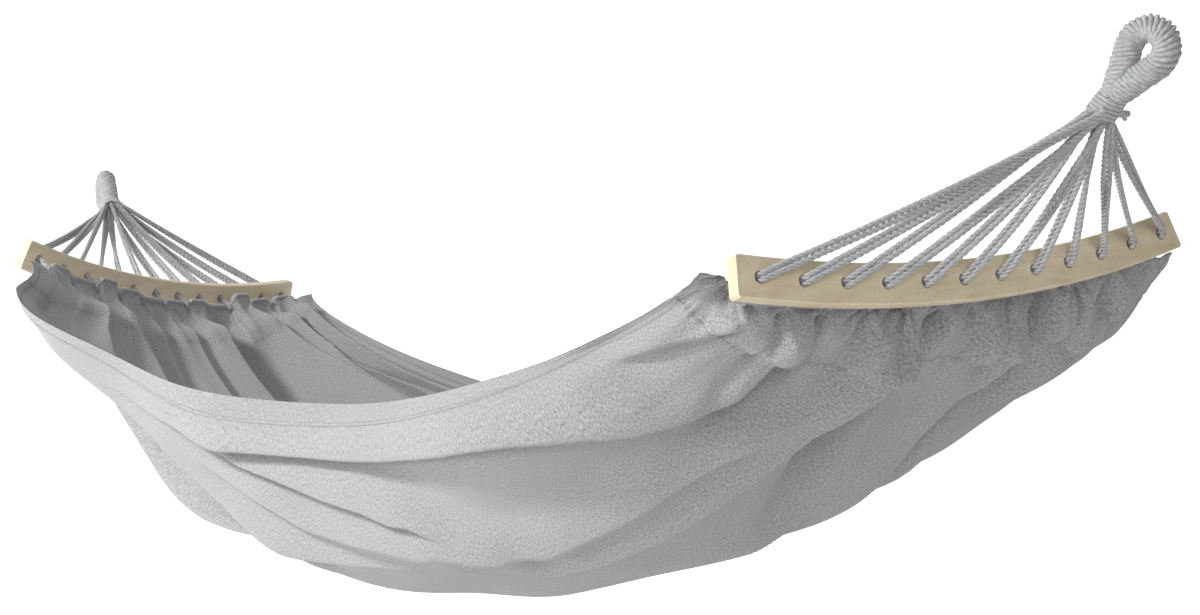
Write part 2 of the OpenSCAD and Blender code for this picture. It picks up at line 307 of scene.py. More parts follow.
def material(name):
    mat = bpy.data.materials.new(name)
    mat.use_nodes = True
    nodes = mat.node_tree.nodes
    nodes.clear()
    out = nodes.new("ShaderNodeOutputMaterial")
    shader = nodes.new("ShaderNodeBsdfPrincipled")
    mat.node_tree.links.new(shader.outputs["BSDF"], out.inputs["Surface"])
    return mat, nodes, mat.node_tree.links, shader


def noise(nodes, links, vector, scale, detail=2.0, rough=0.5):
    node = nodes.new("ShaderNodeTexNoise")
    node.inputs["Scale"].default_value = scale
    node.inputs["Detail"].default_value = detail
    node.inputs["Roughness"].default_value = rough
    links.new(vector, node.inputs["Vector"])
    return node.outputs["Fac"]


def ramp(nodes, links, value, stops):
    node = nodes.new("ShaderNodeValToRGB")
    while len(node.color_ramp.elements) < len(stops):
        node.color_ramp.elements.new(0.5)
    for element, (at, colour) in zip(node.color_ramp.elements, stops):
        element.position = at
        element.color = (*colour, 1)
    links.new(value, node.inputs["Fac"])
    return node.outputs["Color"]


def blend_colour(nodes, links, a, b, factor, kind="MULTIPLY"):
    node = nodes.new("ShaderNodeMix")
    node.data_type = "RGBA"
    node.blend_type = kind
    node.inputs["Factor"].default_value = factor
    links.new(a, node.inputs["A"])
    links.new(b, node.inputs["B"])
    return node.outputs["Result"]


def bump(nodes, links, height, strength, distance, normal=None):
    node = nodes.new("ShaderNodeBump")
    node.inputs["Strength"].default_value = strength
    node.inputs["Distance"].default_value = distance
    links.new(height, node.inputs["Height"])
    if normal:
        links.new(normal, node.inputs["Normal"])
    return node.outputs["Normal"]


def scaled(nodes, links, vector, scale):
    node = nodes.new("ShaderNodeMapping")
    node.inputs["Scale"].default_value = scale
    links.new(vector, node.inputs["Vector"])
    return node.outputs["Vector"]


def wave(nodes, links, vector, scale, direction, distortion=0.0):
    node = nodes.new("ShaderNodeTexWave")
    node.bands_direction = direction
    node.inputs["Scale"].default_value = scale
    node.inputs["Distortion"].default_value = distortion
    links.new(vector, node.inputs["Vector"])
    return node.outputs["Fac"]


def cloth_material(name, light, dark):
    """Heathered cotton canvas: flecked yarns, a plain weave and slubs. Its UV map is in metres."""
    mat, nodes, links, shader = material(name)
    coord = nodes.new("ShaderNodeTexCoord")
    uv, place = coord.outputs["UV"], coord.outputs["Object"]
    fleck = noise(nodes, links, scaled(nodes, links, uv, (330, 600, 1)), 1.0, 3.0, 0.65)
    fleck2 = noise(nodes, links, scaled(nodes, links, uv, (680, 290, 1)), 1.0, 2.0, 0.6)
    patch = noise(nodes, links, place, 7.0, 4.0, 0.6)
    bright = tuple(c * 1.24 for c in light)
    colour = ramp(nodes, links, fleck, [(0.36, dark), (0.52, light), (0.68, bright)])
    second = ramp(nodes, links, fleck2, [(0.38, (0.72, 0.72, 0.72)), (0.56, (1, 1, 1))])
    colour = blend_colour(nodes, links, colour, second, 0.7)
    third = ramp(nodes, links, patch, [(0.3, (0.93, 0.93, 0.93)), (0.7, (1, 1, 1))])
    colour = blend_colour(nodes, links, colour, third, 1.0)
    links.new(colour, shader.inputs["Base Color"])
    weft = wave(nodes, links, uv, 190, "X", 0.6)
    warp = wave(nodes, links, uv, 190, "Y", 0.6)
    normal = bump(nodes, links, weft, 0.18, 0.0006)
    normal = bump(nodes, links, warp, 0.18, 0.0006, normal)
    normal = bump(nodes, links, fleck, 0.20, 0.0007, normal)
    normal = bump(nodes, links, noise(nodes, links, place, 60.0, 3.0, 0.55), 0.25, 0.002, normal)
    links.new(normal, shader.inputs["Normal"])
    shader.inputs["Roughness"].default_value = 0.92
    shader.inputs["Sheen Weight"].default_value = 0.25
    shader.inputs["Sheen Roughness"].default_value = 0.6
    shader.inputs["Specular IOR Level"].default_value = 0.2
    return mat


def rope_material(name, light, dark):
    """Soft laid cotton: yarn lines along each ply, with lighter and darker fibres."""
    mat, nodes, links, shader = material(name)
    coord = nodes.new("ShaderNodeTexCoord")
    uv, place = coord.outputs["UV"], coord.outputs["Object"]
    fibre = noise(nodes, links, scaled(nodes, links, uv, (9, 160, 1)), 1.0, 3.0, 0.6)
    fleck = noise(nodes, links, place, 420.0, 2.0, 0.6)
    colour = ramp(nodes, links, fibre, [(0.30, dark), (0.62, light)])
    second = ramp(nodes, links, fleck, [(0.3, (0.72, 0.72, 0.72)), (0.65, (1, 1, 1))])
    colour = blend_colour(nodes, links, colour, second, 0.8)
    links.new(colour, shader.inputs["Base Color"])
    yarn = wave(nodes, links, scaled(nodes, links, uv, (1, 55, 1)), 3.0, "DIAGONAL", 0.5)
    normal = bump(nodes, links, yarn, 0.5, 0.0006)
    normal = bump(nodes, links, fleck, 0.5, 0.0008, normal)
    links.new(normal, shader.inputs["Normal"])
    shader.inputs["Roughness"].default_value = 0.95
    shader.inputs["Sheen Weight"].default_value = 0.35
    shader.inputs["Specular IOR Level"].default_value = 0.15
    return mat


def wood_material(name):
    """Pale planed softwood: long grain along the bar, fine pores, slightly glossy."""
    mat, nodes, links, shader = material(name)
    coord = nodes.new("ShaderNodeTexCoord")
    place = coord.outputs["Object"]
    stretched = scaled(nodes, links, place, (60, 3.0, 60))
    grain = noise(nodes, links, stretched, 1.0, 6.0, 0.6)
    pores = noise(nodes, links, scaled(nodes, links, place, (700, 26, 700)), 1.0, 3.0, 0.6)
    broad = noise(nodes, links, scaled(nodes, links, place, (16, 1.6, 16)), 1.0, 3.0, 0.5)
    dark, middle, light = (0.64, 0.53, 0.36), (0.74, 0.635, 0.455), (0.80, 0.71, 0.54)
    colour = ramp(nodes, links, grain, [(0.28, dark), (0.5, middle), (0.75, light)])
    bands = ramp(nodes, links, broad, [(0.3, (0.90, 0.88, 0.84)), (0.7, (1, 1, 1))])
    colour = blend_colour(nodes, links, colour, bands, 0.8)
    dots = ramp(nodes, links, pores, [(0.30, (0.80, 0.77, 0.72)), (0.5, (1, 1, 1))])
    colour = blend_colour(nodes, links, colour, dots, 0.5)
    links.new(colour, shader.inputs["Base Color"])
    rough = ramp(nodes, links, grain, [(0.3, (0.48, 0.48, 0.48)), (0.7, (0.36, 0.36, 0.36))])
    links.new(rough, shader.inputs["Roughness"])
    normal = bump(nodes, links, grain, 0.10, 0.0008)
    normal = bump(nodes, links, pores, 0.12, 0.0004, normal)
    links.new(normal, shader.inputs["Normal"])
    return mat


CLOTH = cloth_material("heather_canvas", (0.375, 0.375, 0.38), (0.22, 0.22, 0.225))
THREAD = rope_material("stitch_thread", (0.38, 0.38, 0.385), (0.24, 0.24, 0.245))
ROPE = rope_material("cotton_rope", (0.52, 0.53, 0.54), (0.27, 0.275, 0.28))
WOOD = wood_material("planed_wood")


# ---- Camera

# Where the camera stands from the middle between the bars, which way it looks, and its focal length in
# picture widths
CAMERA_PLACE = np.array([2.173, -2.134, -0.061])
CAMERA_HEADING, CAMERA_PITCH, CAMERA_ROLL = (math.radians(a) for a in (47.89, 0.06, -0.43))
CAMERA_FOCAL = 1859 / 1200
SENSOR_WIDTH = 36


def make_camera():
    data = bpy.data.cameras.new("camera")
    camera = bpy.data.objects.new("camera", data)
    bpy.context.scene.collection.objects.link(camera)
    ahead = Vector((-math.cos(CAMERA_HEADING) * math.cos(CAMERA_PITCH),
                    math.sin(CAMERA_HEADING) * math.cos(CAMERA_PITCH), -math.sin(CAMERA_PITCH)))
    camera.location = Vector(CAMERA_PLACE - HOOK)
    camera.rotation_mode = "QUATERNION"
    camera.rotation_quaternion = ahead.to_track_quat("-Z", "Y") @ Quaternion((0, 0, 1), CAMERA_ROLL)
    data.sensor_width = SENSOR_WIDTH
    data.lens = CAMERA_FOCAL * SENSOR_WIDTH
    data.clip_start = 0.05
    data.clip_end = 60
    bpy.context.scene.camera = camera


make_camera()


# ---- Ropes

# Near ropes that hang slack
SLACK_ROPES = (9, 10, 11)
STRAND_R = 0.0039
# How far a strand's middle stands from the header cord's, where it goes round it
BIGHT_R = 0.00675


def neck_slot(s, i):
    """Where a rope comes out of the neck."""
    _, across, up = eye_axes(s)
    return neck(s) + across * (i - (HOLES - 1) / 2) * 0.0032 + up * ((i % 3) - 1) * 0.0085


def bend(a, b, c):
    """Four places on a soft corner at b."""
    return [mix(mix(a, b, t), mix(b, c, t), t) for t in (0, 1 / 3, 2 / 3, 1)]


def rope_line(s, i):
    """Middle line of the doubled rope, with how far each strand stands from it."""
    y = hole_y(i)
    z = float(arc_z(y))
    top = neck_slot(s, i)
    knee = bar_point(s, [BAR_T / 2 + 0.008, y, z])
    lean = knee + 0.013 * unit(top - knee)
    shares = np.linspace(0.04, 0.94, 12)
    line = [top] + [mix(top, lean, t) for t in shares]
    line += bend(lean, knee, bar_point(s, [BAR_T / 2 + 0.0015, y, z]))
    line += [bar_point(s, [-BAR_T / 2 - 0.0015, y, z]), header_point(s, y) + bar_dir(s, [0.011, 0, 0.005]),
             header_point(s, y)]
    offs = [0.0027] + [mix(0.0029, 0.0037, float(smooth(t / 0.2))) for t in shares]
    offs += [0.0036] * 5 + [0.0058, BIGHT_R]
    return np.array(line), np.array(offs), shares


def make_rope(s, i):
    """One doubled rope: out of the neck, through its hole, round the header cord and back."""
    line, offs, shares = rope_line(s, i)
    up = bar_dir(s, [0, 0, 1])
    t = frames(line, up)[0]
    o = square_to(np.broadcast_to(up, t.shape), t)
    e = np.cross(t, o)
    pair_turn = rng.uniform(-1.3, 1.3) * math.pi * 0.5
    slack = 0.004 + 0.006 * rng.random()
    if s == NEAR and i in SLACK_ROPES:
        slack = 0.012
    sway = rng.uniform(-1, 1)
    share = np.concatenate([[0], shares, np.ones(len(line) - 13)])
    angle = pair_turn * (1 - smooth(share / 0.85))
    droop = np.array([0, 0.6 * sway, -0.7])
    line = line + (np.sin(math.pi * share) * slack)[:, None] * droop
    side = np.cos(angle)[:, None] * o + np.sin(angle)[:, None] * e
    down = line + offs[:, None] * side
    back = line - offs[:, None] * side
    bight = [line[-1] + BIGHT_R * (math.cos(w) * o[-1] + math.sin(w) * t[-1])
             for w in np.radians([45, 90, 135])]
    along = -eye_axes(s)[0]
    lead_a, lead_b = down[0] - along * 0.010, back[0] - along * 0.010
    route = np.vstack([[lead_a], down, bight, back[::-1], [lead_b]])
    soup = Soup()
    laid_rope(soup, route, STRAND_R, phase=rng.uniform(0, 6))
    name = f"{END_NAME[s]}_rope_{i + 1:02d}"
    obj = soup.mesh(name + "_laid", ROPE)
    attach(obj, f"{END_NAME[s]}_rigging")
    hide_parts(name)


def make_header_cord(s):
    soup = Soup()
    ends = END_HOLE + 0.014
    laid_rope(soup, header_point(s, np.linspace(-ends, ends, 28)), 0.003, pitch=0.02, spacing=0.003)
    obj = soup.mesh(f"{END_NAME[s]}_header_rope", ROPE)
    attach(obj, f"{END_NAME[s]}_rigging")
    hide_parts(f"{END_NAME[s]}_header_cord")


# ---- Eyes

BUNDLE_R = 0.0145
# The winding's cords: from the loop's line to their middle, their radius, how many, and how far along the
# loop one turn takes them
TURNS_R, TURN_CORD_R, TURN_CORDS, TURN_LEAD = 0.0148, 0.0031, 6, 0.0340


def eye_point(s, across, along):
    """A place in the loop's plane, from its pivot."""
    axis, _, up = eye_axes(s)
    return neck(s) + (PIVOT_OUT + along) * axis + across * up


def loop_line(s):
    """The teardrop's middle line, from the pivot round and back."""
    leg = math.asin(EYE_BEND / EYE_REACH)
    turn = np.linspace(-leg, math.pi + leg, 40)
    arc = [eye_point(s, EYE_BEND * math.cos(w), EYE_REACH + EYE_BEND * math.sin(w)) for w in turn]
    pivot = eye_point(s, 0, 0)
    return resample(np.vstack([[mix(pivot, arc[0], -0.05)], [mix(pivot, arc[0], 0.5)], arc,
                               [mix(pivot, arc[-1], 0.5)], [mix(pivot, arc[-1], -0.05)]]), 0.001)


def wound(soup, path, radius, cord_r, starts, lead, jitter=0.0003):
    """Cords wound side by side round a path; radius is to the cord's middle."""
    _, a, b = frames(path)
    run = np.concatenate([[0], np.cumsum(np.linalg.norm(np.diff(path, axis=0), axis=1))])
    radius = np.broadcast_to(radius, run.shape)
    turns = run[-1] / lead
    steps = int(turns * 2 * math.pi * float(np.mean(radius)) / 0.0022)
    want = np.linspace(0, run[-1], steps)

    def at(values):
        return np.stack([np.interp(want, run, values[:, k]) for k in range(3)], -1)

    centre, side_a, side_b = at(path), unit(at(a)), unit(at(b))
    r = np.interp(want, run, radius)
    for k in range(starts):
        w = 2 * math.pi * (want / lead + k / starts)
        wobble = jitter * np.sin(want * 900 + k * 2.1 + rng.uniform(0, 6))
        line = centre + (r + wobble)[:, None] * (np.cos(w)[:, None] * side_a + np.sin(w)[:, None] * side_b)
        soup.tube(line, cord_r, sides=7, ply=0.10, ply_pitch=0.011, starts=2)


def make_eye(s):
    """The loop's bundle of strands and the cords wound round it."""
    end = END_NAME[s]
    path = loop_line(s)
    core = Soup()
    core.tube(path[::4], BUNDLE_R, sides=20)
    inner = core.mesh(f"{end}_eye_bundle", ROPE)
    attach(inner, f"{end}_eye")
    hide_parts(f"{end}_eye_core")
    soup = Soup()
    wound(soup, path, TURNS_R, TURN_CORD_R, TURN_CORDS, TURN_LEAD, jitter=0.0006)
    winding = soup.mesh(f"{end}_eye_turns", ROPE)
    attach(winding, f"{end}_eye")
    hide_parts(f"{end}_eye_winding")


def make_whipping(s):
    """Turns of cord that bind the strands under the eye."""
    end = END_NAME[s]
    along = eye_axes(s)[0]
    soup = Soup()
    start, stop = -0.004, PIVOT_OUT - 0.001
    share = np.linspace(0, 1, 40)
    path = neck(s) + along * mix(start, stop, share)[:, None]
    soup.tube(path, 0.0165, sides=24)
    wound(soup, path, 0.0185 - 0.0015 * share, 0.0026, 2, 0.0104)
    obj = soup.mesh(f"{end}_neck_turns", ROPE)
    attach(obj, f"{end}_rigging")
    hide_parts(f"{end}_neck_whipping")


def make_knot(s):
    """The small overhand knot that ends the whipping cord."""
    end = END_NAME[s]
    along = eye_axes(s)[0]
    centre = neck(s) + 0.006 * along + np.array([0.010, 0.031, -0.005])
    root = neck(s) + 0.006 * along + np.array([0.004, 0.014, -0.003])
    w = np.linspace(0.35, 2 * math.pi - 0.1, 60)
    knot = centre + 0.0042 * np.stack([np.sin(w) + 2 * np.sin(2 * w), np.cos(w) - 2 * np.cos(2 * w),
                                       -np.sin(3 * w)], -1) * 0.5
    soup = Soup()
    tail = knot[-1] + [0.004, 0.003, -0.009]
    route = np.vstack([[root], [mix(root, knot[0], 0.6)], knot[3:], [tail]])
    laid_rope(soup, route, 0.0030, pitch=0.012, spacing=0.0012)
    obj = soup.mesh(f"{end}_tail_knot_laid", ROPE)
    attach(obj, f"{end}_rigging")
    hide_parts(f"{end}_tail_knot")


for side in (NEAR, FAR):
    for index in range(HOLES):
        make_rope(side, index)
    make_header_cord(side)
    make_eye(side)
    make_whipping(side)
    make_knot(side)


# ---- Cloth

BIGHT_STEP = PITCH / CLOTH_W
FIRST_BIGHT = 0.5 - END_HOLE / CLOTH_W
ROWS, COLS = 440, 420
CASING_DEPTH = 0.060
HEM_DEPTH = 0.020
# Lobes of the near casing that hang out between the pinched places, as (v, half width, height)
LOBES = [(0.170, 0.085, 0.032), (0.345, 0.080, 0.024), (0.600, 0.085, 0.036), (0.780, 0.062, 0.028),
         (0.905, 0.055, 0.022)]
# How far the gathered casing puffs out between neighbouring bights, from front to back
PUFFS = {
    NEAR: [0.004, 0.014, 0.020, 0.018, 0.022, 0.012, 0.020, 0.024, 0.014, 0.018, 0.012, 0.016, 0.008],
    FAR: [0.004, 0.006, 0.004, 0.006, 0.004, 0.004, 0.006, 0.006, 0.004, 0.008, 0.006, 0.006, 0.004],
}
# How far the casing stands up above its header cord between the bights
CRESTS = {
    NEAR: [0.0, 0.002, 0.004, 0.002, 0.006, 0.002, 0.004, 0.002, 0.006, 0.002, 0.004, 0.002, 0.0],
    FAR: [0.0, 0.014, 0.006, 0.020, 0.012, 0.004, 0.006, 0.012, 0.004, 0.028, 0.016, 0.018, 0.0],
}
# How deep and how long the crease under each rope is, from front to back
CREASES = [(0.014, 0.10), (0.016, 0.12), (0.030, 0.16), (0.014, 0.18), (0.016, 0.09), (0.034, 0.20),
           (0.016, 0.10), (0.018, 0.14), (0.034, 0.18), (0.016, 0.10), (0.026, 0.15), (0.014, 0.08)]


def cloth_end(s, v):
    """The cloth's end along its header cord, with the two corners that stand loose."""
    y = (v - 0.5) * CLOTH_W
    k = smooth((np.abs(y) - END_HOLE + 0.036) / 0.054)
    lift, inward, past = (np.where(y < 0, *pair[s]) for pair in (CORNER_LIFT, CORNER_IN, CORNER_OUT))
    return bar_points(s, -HEADER_BACK - 0.004 - inward * k, y + np.sign(y) * past * k,
                      arc_z(y) - HEADER_DOWN - 0.004 + lift * k)


def bed_surface(u, v):
    """The smooth bed, close to the CAD's: u from the near end to the far end and v from front to back."""
    p = mix(cloth_end(NEAR, v), cloth_end(FAR, v), u[..., None])
    rise = np.sin(math.pi * u).clip(0)
    deep = np.sin(math.pi * v).clip(0) ** 0.8
    edge = mix(FRONT_SAG, BACK_SAG, v) * (4 * u * (1 - u)).clip(0) ** 0.9
    sag = mix(edge, DEEP_SAG * rise ** 0.72, deep)
    y = mix(p[..., 1], -BED_W / 2 * np.cos(math.pi * v), rise ** 0.6)
    bulge = WALL_BULGE * np.sin(2 * math.pi * u) ** 2 * np.cos(math.pi * v)
    flop = FRONT_FLOP * hump(u, 0.91, 0.085) * (1 - smooth(v / 0.4)) * smooth((1 - u) / 0.05)
    drop = BACK_DROP * hump(u, 0.1, 0.1) * smooth((v - 0.45) / 0.4) * smooth(u / 0.06)
    slack = FRONT_SLACK * hump(u, 0.76, 0.21) * (1 - smooth(v / 0.18)) * smooth((1 - u) / 0.045)
    return np.stack([p[..., 0], y - bulge - flop - 0.15 * slack + 0.7 * drop,
                     p[..., 2] - sag + 0.1 * flop - slack - drop], -1)


def outward(u, v):
    """The unit normal of the smooth bed, away from the sleeper."""
    d = 0.002
    along = bed_surface(np.minimum(u + d, 1), v) - bed_surface(np.maximum(u - d, 0), v)
    across = bed_surface(u, np.minimum(v + d, 1)) - bed_surface(u, np.maximum(v - d, 0))
    return unit(np.cross(along, across))


def line_at(points, u):
    """A soft curve v(u) through a few places, each u and v."""
    dense = np.linspace(0, 1, 601)
    line = np.interp(dense, *np.array(points, float).T)
    for _ in range(16):
        line = np.convolve(np.pad(line, 1, mode="edge"), [0.25, 0.5, 0.25], "valid")
    return np.interp(u, dense, line)


# Folds that lie over one another down the wall, as (places, height, swell, under, lip, fade near, fade far):
# the cloth swells out by height over the swell above each line, and its lip hangs over the line
WALL_FOLDS = [
    ([(0.004, 0.232), (0.03, 0.212), (0.055, 0.190), (0.08, 0.150), (0.105, 0.112), (0.14, 0.078),
      (0.21, 0.055), (0.25, 0.048), (0.34, 0.041), (0.42, 0.039), (0.52, 0.036), (0.60, 0.034),
      (0.68, 0.036), (0.78, 0.046), (0.86, 0.060)],
     0.040, 0.046, 0.008, 0.018, 0.12, 0.26),
    ([(0.004, 0.086), (0.016, 0.077), (0.035, 0.062), (0.062, 0.046), (0.12, 0.034)],
     0.016, 0.034, 0.008, 0.006, 0.014, 0.06),
    ([(0.33, 0.184), (0.35, 0.159), (0.38, 0.127), (0.435, 0.101), (0.515, 0.080), (0.57, 0.067),
      (0.625, 0.056), (0.70, 0.050)],
     0.030, 0.032, 0.009, 0.014, 0.07, 0.10),
    ([(0.05, 0.290), (0.11, 0.250), (0.14, 0.243), (0.22, 0.242), (0.27, 0.242), (0.31, 0.217),
      (0.36, 0.175), (0.43, 0.156), (0.54, 0.140), (0.59, 0.118), (0.64, 0.102), (0.72, 0.086)],
     0.026, 0.040, 0.018, 0.010, 0.05, 0.14),
    ([(0.005, 0.435), (0.025, 0.388), (0.04, 0.350), (0.065, 0.320), (0.11, 0.314), (0.19, 0.300),
      (0.245, 0.298), (0.29, 0.288), (0.31, 0.260), (0.37, 0.210), (0.455, 0.199), (0.58, 0.199),
      (0.66, 0.206), (0.74, 0.212)],
     0.044, 0.048, 0.009, 0.018, 0.02, 0.16),
    ([(0.008, 0.675), (0.028, 0.660), (0.044, 0.637), (0.075, 0.604), (0.11, 0.598), (0.20, 0.560),
      (0.30, 0.540)],
     0.038, 0.060, 0.009, 0.016, 0.02, 0.16),
    ([(0.010, 0.900), (0.031, 0.842), (0.043, 0.770), (0.069, 0.716), (0.116, 0.660), (0.22, 0.640)],
     0.028, 0.046, 0.009, 0.012, 0.015, 0.10),
    ([(0.14, 0.545), (0.22, 0.500), (0.30, 0.470), (0.42, 0.460), (0.52, 0.480)],
     0.026, 0.045, 0.010, 0.011, 0.08, 0.14),
    ([(0.30, 0.700), (0.42, 0.660), (0.55, 0.670), (0.66, 0.700)],
     0.018, 0.045, 0.011, 0.009, 0.10, 0.14),
    ([(0.10, 0.800), (0.22, 0.790), (0.40, 0.810), (0.56, 0.830), (0.66, 0.850)],
     0.016, 0.045, 0.011, 0.009, 0.08, 0.14),
]
# Hollows that run down the wall from the near bar, as (places, depth, width, fade near, fade far)
WALL_VALLEYS = [
    ([(0.000, 0.470), (0.012, 0.456), (0.030, 0.449), (0.050, 0.448), (0.075, 0.455), (0.13, 0.478),
      (0.22, 0.510)],
     0.064, 0.024, 0.008, 0.14),
    ([(0.010, 0.238), (0.030, 0.226), (0.070, 0.226), (0.11, 0.220), (0.16, 0.215)],
     0.034, 0.020, 0.015, 0.08),
    ([(0.000, 0.730), (0.030, 0.700), (0.060, 0.650), (0.10, 0.630), (0.18, 0.610)],
     0.034, 0.020, 0.010, 0.09),
]
# Pleats that run from the far bar into the bed and stand up on the sleeper's side
END_PLEATS = [
    ([(0.55, 0.215), (0.80, 0.210), (0.94, 0.208), (0.998, 0.190)], 0.036, 0.075, 0.010, 0.012, 0.16, 0.022),
    ([(0.55, 0.330), (0.80, 0.325), (0.94, 0.314), (0.998, 0.275)], 0.030, 0.048, 0.009, 0.010, 0.16, 0.022),
    ([(0.62, 0.352), (0.94, 0.346), (0.998, 0.335)], 0.016, 0.016, 0.008, 0.004, 0.14, 0.022),
    ([(0.62, 0.388), (0.94, 0.388), (0.998, 0.402)], 0.018, 0.020, 0.008, 0.004, 0.14, 0.022),
    ([(0.55, 0.480), (0.80, 0.480), (0.93, 0.479), (0.998, 0.496)], 0.030, 0.044, 0.009, 0.010, 0.16, 0.022),
    ([(0.50, 0.590), (0.80, 0.585), (0.93, 0.577), (0.998, 0.586)], 0.040, 0.050, 0.010, 0.014, 0.18, 0.022),
    ([(0.50, 0.880), (0.80, 0.870), (0.875, 0.858), (0.95, 0.800), (0.998, 0.768)],
     0.044, 0.075, 0.008, 0.014, 0.10, 0.022),
    ([(0.55, 0.935), (0.80, 0.925), (0.85, 0.915), (0.94, 0.885), (0.998, 0.870)],
     0.036, 0.034, 0.007, 0.010, 0.08, 0.022),
    ([(0.60, 0.962), (0.815, 0.948), (0.94, 0.945), (0.998, 0.945)],
     0.028, 0.022, 0.006, 0.007, 0.08, 0.022),
]


# Broad swells and hollows, as (height, u, width along u, v, width along v)
SWELLS = [
    (-0.016, 0.12, 0.09, 0.014, 0.016),  # the top of the front band turns in towards the near corner
    (0.012, 0.22, 0.16, 0.045, 0.030),  # the band stands out under that
    (0.046, 0.73, 0.12, 0.23, 0.12),  # the wall bellies out towards the far end
    (0.028, 0.60, 0.13, 0.42, 0.12),  # the bottom hangs lowest past the middle
    (0.016, 0.20, 0.08, 0.44, 0.15),
    (-0.010, 0.38, 0.14, 0.40, 0.16),
]


def add_folds(folds, u, v, sign, out, slide, flat=False):
    """Adds folds to out, along the bed's normal, and to slide, which is how far the cloth slips down
    over each line. A flat fold rises in a straight ramp, like a pressed pleat."""
    for places, height, swell, under, lip, fade_near, fade_far in folds:
        power = smooth((u - places[0][0]) / fade_near) * smooth((places[-1][0] - u) / fade_far)
        x = v - line_at(places, u)
        rising = np.clip(1 + x / (1.7 * swell), 0, 1) if flat else hump(x, 0, swell)
        tuck = 0.30 * hump(x, 1.7 * under, 0.9 * under)
        out += sign * height * power * (np.where(x < 0, rising, hump(x, 0, under)) - tuck)
        slide += lip * power * np.exp(-(x / np.where(x < 0, 0.6 * swell, 1.4 * under)) ** 2)


def add_valleys(u, v, out):
    """Presses the hollows in."""
    for places, depth, width, fade_near, fade_far in WALL_VALLEYS:
        power = smooth((u - places[0][0]) / fade_near) * smooth((places[-1][0] - u) / fade_far)
        out -= depth * power * hump(v, line_at(places, u), width)


def per_gap(values, v):
    """Spreads one value for each gap between bights along v."""
    gap = np.clip(np.floor((v - FIRST_BIGHT) / BIGHT_STEP).astype(int) + 1, 0, HOLES)
    return np.array(values)[gap]


def between_bights(v, rise):
    """0 at each bight, 1 over the middle of each gap and in the corners."""
    x = (v - FIRST_BIGHT) / BIGHT_STEP
    past = np.maximum(-x, x - HOLES + 1)
    return smooth(np.where(past > 0, past, np.abs(x - np.round(x))) / rise)


def add_gathers(s, dist, v, out):
    """Puffs of the casing, a crease under each rope, and small creases that spread out like a star."""
    fall = {NEAR: 0.055, FAR: 0.110}[s]
    out += per_gap(PUFFS[s], v) * between_bights(v, 0.5) * smooth(dist / 0.022) * np.exp(-(dist / fall) ** 2)
    x = (v - FIRST_BIGHT) / BIGHT_STEP
    sharp = {NEAR: 0.0064, FAR: 0.0016}[s]
    for k, (depth, length) in enumerate(CREASES):
        across = (x - k - 0.25 * np.sin(2.3 * k) * dist / length) * PITCH
        down = dist + 0.004
        r = np.hypot(across, down)
        angle = np.arctan2(across, down)
        star = np.cos((8 + k % 3) * angle + 1.7 * k) + 0.6 * np.cos((14 + k % 5) * angle + 2.9 * k)
        out += sharp * (0.7 + 0.4 * math.sin(5 * k)) * star * smooth(r / 0.010) * np.exp(-(r / 0.040) ** 2)
        narrow = hump(across, 0, 0.006 + 0.05 * dist) * np.exp(-dist / length) * smooth(dist / 0.012)
        out -= 180 * sharp * depth * narrow


def add_lobes(dist, v, out):
    """The near casing's lobes stand out down to their seam, where the cloth draws back in."""
    to_seam = smooth((CASING_DEPTH + 0.010 - dist) / 0.026)
    hang = smooth(dist / 0.034) * (0.35 * np.exp(-(dist / 0.12) ** 2) + 0.65 * to_seam)
    for at, half, height in LOBES:
        out += height * smooth(1.5 * (1 - np.abs(v - at) / half)) * hang


def row_places():
    """u of each row, closest together at the two gathered ends."""
    u = np.interp(np.linspace(0, 1, ROWS + 1), [0, 0.36, 0.60, 0.78, 1], [0, 0.12, 0.50, 0.84, 1])
    for _ in range(60):
        u[1:-1] = 0.25 * u[:-2] + 0.5 * u[1:-1] + 0.25 * u[2:]
    return u


